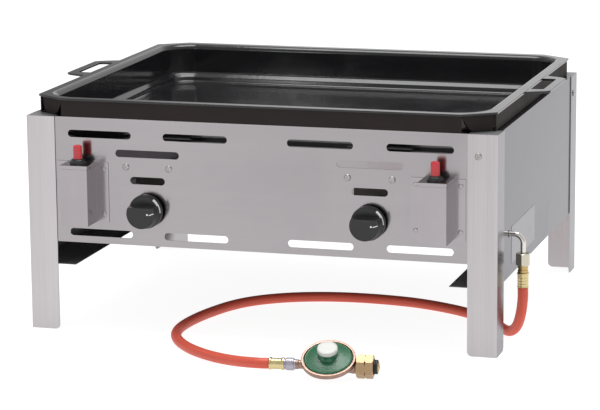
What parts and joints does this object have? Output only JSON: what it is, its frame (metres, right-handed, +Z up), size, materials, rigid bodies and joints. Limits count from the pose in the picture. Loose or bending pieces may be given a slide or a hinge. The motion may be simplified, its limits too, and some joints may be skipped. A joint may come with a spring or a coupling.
{
  "type": "camp stove",
  "caption": "Gas roasting stove with a stainless frame on angle legs, a lift-out enamelled pan, two tube burners with push-and-turn taps, push-button igniters, and a hose with its regulator.",
  "frame": {"origin": "middle of the stove's footprint on the floor, without the hose and what is on it", "axes": "+X to the right along the front, +Y from the front to the back, +Z up"},
  "size_m": [0.7031, 0.7234, 0.32],
  "materials": {
    "stainless_panel": "brushed stainless sheet, level grain",
    "stainless_leg": "brushed stainless sheet, brighter than the panels",
    "stainless_box": "brushed stainless sheet, folded",
    "black_sheet": "black heat-resistant coating, satin",
    "black_enamel": "glossy black vitreous enamel with a faint orange peel",
    "screw_steel": "plain steel fasteners",
    "burner_steel": "heat-tinted steel tube",
    "bright_pipe": "bright plated tube and nut",
    "rail_steel": "zinc-plated square tube",
    "brass": "turned brass",
    "yellow_zinc": "yellow-passivated crimped ferrule",
    "grey_zinc": "zinc-plated swivel sleeve",
    "bronze_zinc": "die-cast zinc with a pinkish passivation",
    "nut_bronze": "machined hexagon nut",
    "green_cover": "green coated cover, low gloss",
    "white_plastic": "white cap with a blank face",
    "black_rubber": "black sealing rubber",
    "hose_rubber": "red-orange gas hose, smooth matt rubber",
    "knob_plastic": "black moulded plastic, fine grain",
    "igniter_plastic": "black moulded plastic",
    "red_plastic": "red moulded push button",
    "ceramic": "off-white glazed ceramic",
    "copper": "copper flame sensor and lead"
  },
  "bodies": {
    "stove": {"front_panel": "stainless_panel", "back_panel": "stainless_panel", "left_side_panel": "stainless_panel", "right_side_panel": "stainless_panel", "front_left_leg": "stainless_leg", "front_right_leg": "stainless_leg", "rear_left_leg": "stainless_leg", "rear_right_leg": "stainless_leg", "left_igniter_box": "stainless_box", "right_igniter_box": "stainless_box", "left_heat_shield": "black_sheet", "right_heat_shield": "black_sheet", "leg_screws": "screw_steel", "bracket_screws": "screw_steel", "igniter_rivets": "screw_steel", "left_burner": "burner_steel", "right_burner": "burner_steel", "left_front_bracket": "burner_steel", "right_front_bracket": "burner_steel", "left_rear_bracket": "burner_steel", "right_rear_bracket": "burner_steel", "inlet_pipe": "bright_pipe", "inlet_union_nut": "bright_pipe", "gas_rail": "rail_steel", "left_gas_valve": "brass", "right_gas_valve": "brass", "left_injector": "brass", "right_injector": "brass", "inlet_hose_fitting": "brass", "cylinder_nose": "brass", "inlet_hose_ferrule": "yellow_zinc", "regulator_hose_ferrule": "yellow_zinc", "regulator_hose_sleeve": "grey_zinc", "regulator_body": "bronze_zinc", "regulator_cover": "green_cover", "regulator_cap": "white_plastic", "cylinder_seal": "black_rubber", "left_ignition_wire": "black_rubber", "right_ignition_wire": "black_rubber", "gas_hose": "hose_rubber", "left_igniter_body": "igniter_plastic", "right_igniter_body": "igniter_plastic", "left_igniter_nut": "igniter_plastic", "right_igniter_nut": "igniter_plastic", "left_electrode": "ceramic", "right_electrode": "ceramic", "left_thermocouple": "copper", "right_thermocouple": "copper"},
    "pan_unit": {"pan": "black_enamel", "left_pan_handle": "black_enamel", "right_pan_handle": "black_enamel"},
    "left_push": {"left_push_rod": "brass"},
    "left_control": {"left_knob": "knob_plastic", "left_valve_spindle": "bright_pipe"},
    "right_push": {"right_push_rod": "brass"},
    "right_control": {"right_knob": "knob_plastic", "right_valve_spindle": "bright_pipe"},
    "left_button": {"left_igniter_button": "red_plastic"},
    "right_button": {"right_igniter_button": "red_plastic"},
    "gas_nut": {"cylinder_nut": "nut_bronze"}
  },
  "joints": [
    {"name": "pan_lift", "type": "slide", "parent": "stove", "child": "pan_unit", "axis": [0, 0, 1], "range_m": [0, 0.1]},
    {"name": "left_knob_push", "type": "slide", "parent": "stove", "child": "left_push", "axis": [0, 1, 0], "range_m": [0, 0.004], "stiffness_N_per_m": 600, "springref_m": -0.004},
    {"name": "left_knob_turn", "type": "hinge", "parent": "left_push", "child": "left_control", "pos_m": [-0.154, -0.2665, 0.1725], "axis": [0, -1, 0], "range_deg": [0, 180]},
    {"name": "left_igniter_press", "type": "slide", "parent": "stove", "child": "left_button", "axis": [0, 0, -1], "range_m": [0, 0.006], "stiffness_N_per_m": 400, "springref_m": -0.003},
    {"name": "right_knob_push", "type": "slide", "parent": "stove", "child": "right_push", "axis": [0, 1, 0], "range_m": [0, 0.004], "stiffness_N_per_m": 600, "springref_m": -0.004},
    {"name": "right_knob_turn", "type": "hinge", "parent": "right_push", "child": "right_control", "pos_m": [0.154, -0.2665, 0.1725], "axis": [0, -1, 0], "range_deg": [0, 180]},
    {"name": "right_igniter_press", "type": "slide", "parent": "stove", "child": "right_button", "axis": [0, 0, -1], "range_m": [0, 0.006], "stiffness_N_per_m": 400, "springref_m": -0.003},
    {"name": "cylinder_nut_spin", "type": "hinge", "parent": "stove", "child": "gas_nut", "pos_m": [0.18406, -0.39387, 0.016], "axis": [0.9923, 0.124, 0], "continuous": true}
  ]
}
